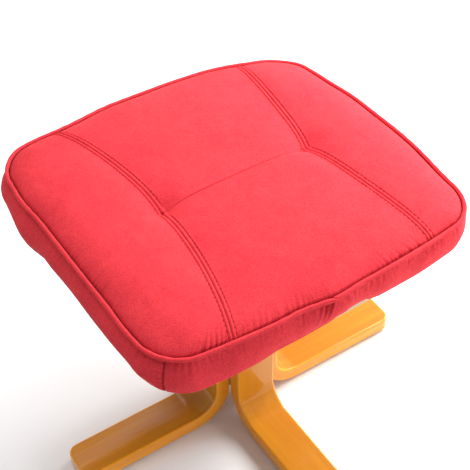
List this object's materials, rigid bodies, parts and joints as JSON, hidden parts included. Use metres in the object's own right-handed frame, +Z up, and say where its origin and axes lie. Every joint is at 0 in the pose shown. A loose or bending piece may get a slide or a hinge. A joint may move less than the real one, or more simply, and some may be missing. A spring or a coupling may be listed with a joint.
{
  "type": "padded footstool",
  "caption": "Padded footstool: nearly square piped cushion with a pieced top on a cross base of bent laminated wood strips bolted back to back.",
  "frame": {"origin": "on the floor at the centre of the base", "axes": "+Z up, +X to the right, -Y to the front; the two long seams of the top run along Y"},
  "size_m": [0.528, 0.528, 0.4301],
  "materials": {
    "lacquered_beech": "gloss",
    "bare_beech": "matt",
    "plywood": "matt",
    "coral_velvet": "soft nap",
    "foam": "matt",
    "wadding": "matt",
    "cord": "matt",
    "black_nonwoven": "matt",
    "zinc_steel": "satin",
    "nylon": "satin",
    "thread": "matt"
  },
  "bodies": {
    "root": {"leg_front": "lacquered_beech", "leg_back": "lacquered_beech", "leg_left": "lacquered_beech", "leg_right": "lacquered_beech", "centre_post": "bare_beech", "post_bolts": "zinc_steel", "post_sleeve_nuts": "zinc_steel", "arm_bolts": "zinc_steel", "arm_washers": "zinc_steel", "tee_nuts": "zinc_steel", "glide_front": "nylon", "glide_back": "nylon", "glide_left": "nylon", "glide_right": "nylon", "glide_screws": "zinc_steel", "seat_board": "plywood", "foam_block": "foam", "wadding": "wadding", "cover_left_panel": "coral_velvet", "cover_right_panel": "coral_velvet", "cover_front_panel": "coral_velvet", "cover_back_panel": "coral_velvet", "band_front_length": "coral_velvet", "band_back_length": "coral_velvet", "piping_cover": "coral_velvet", "piping_cord": "cord", "dust_cover": "black_nonwoven", "staples": "zinc_steel", "tie_cords": "cord", "tie_toggles": "nylon"}
  },
  "joints": []
}
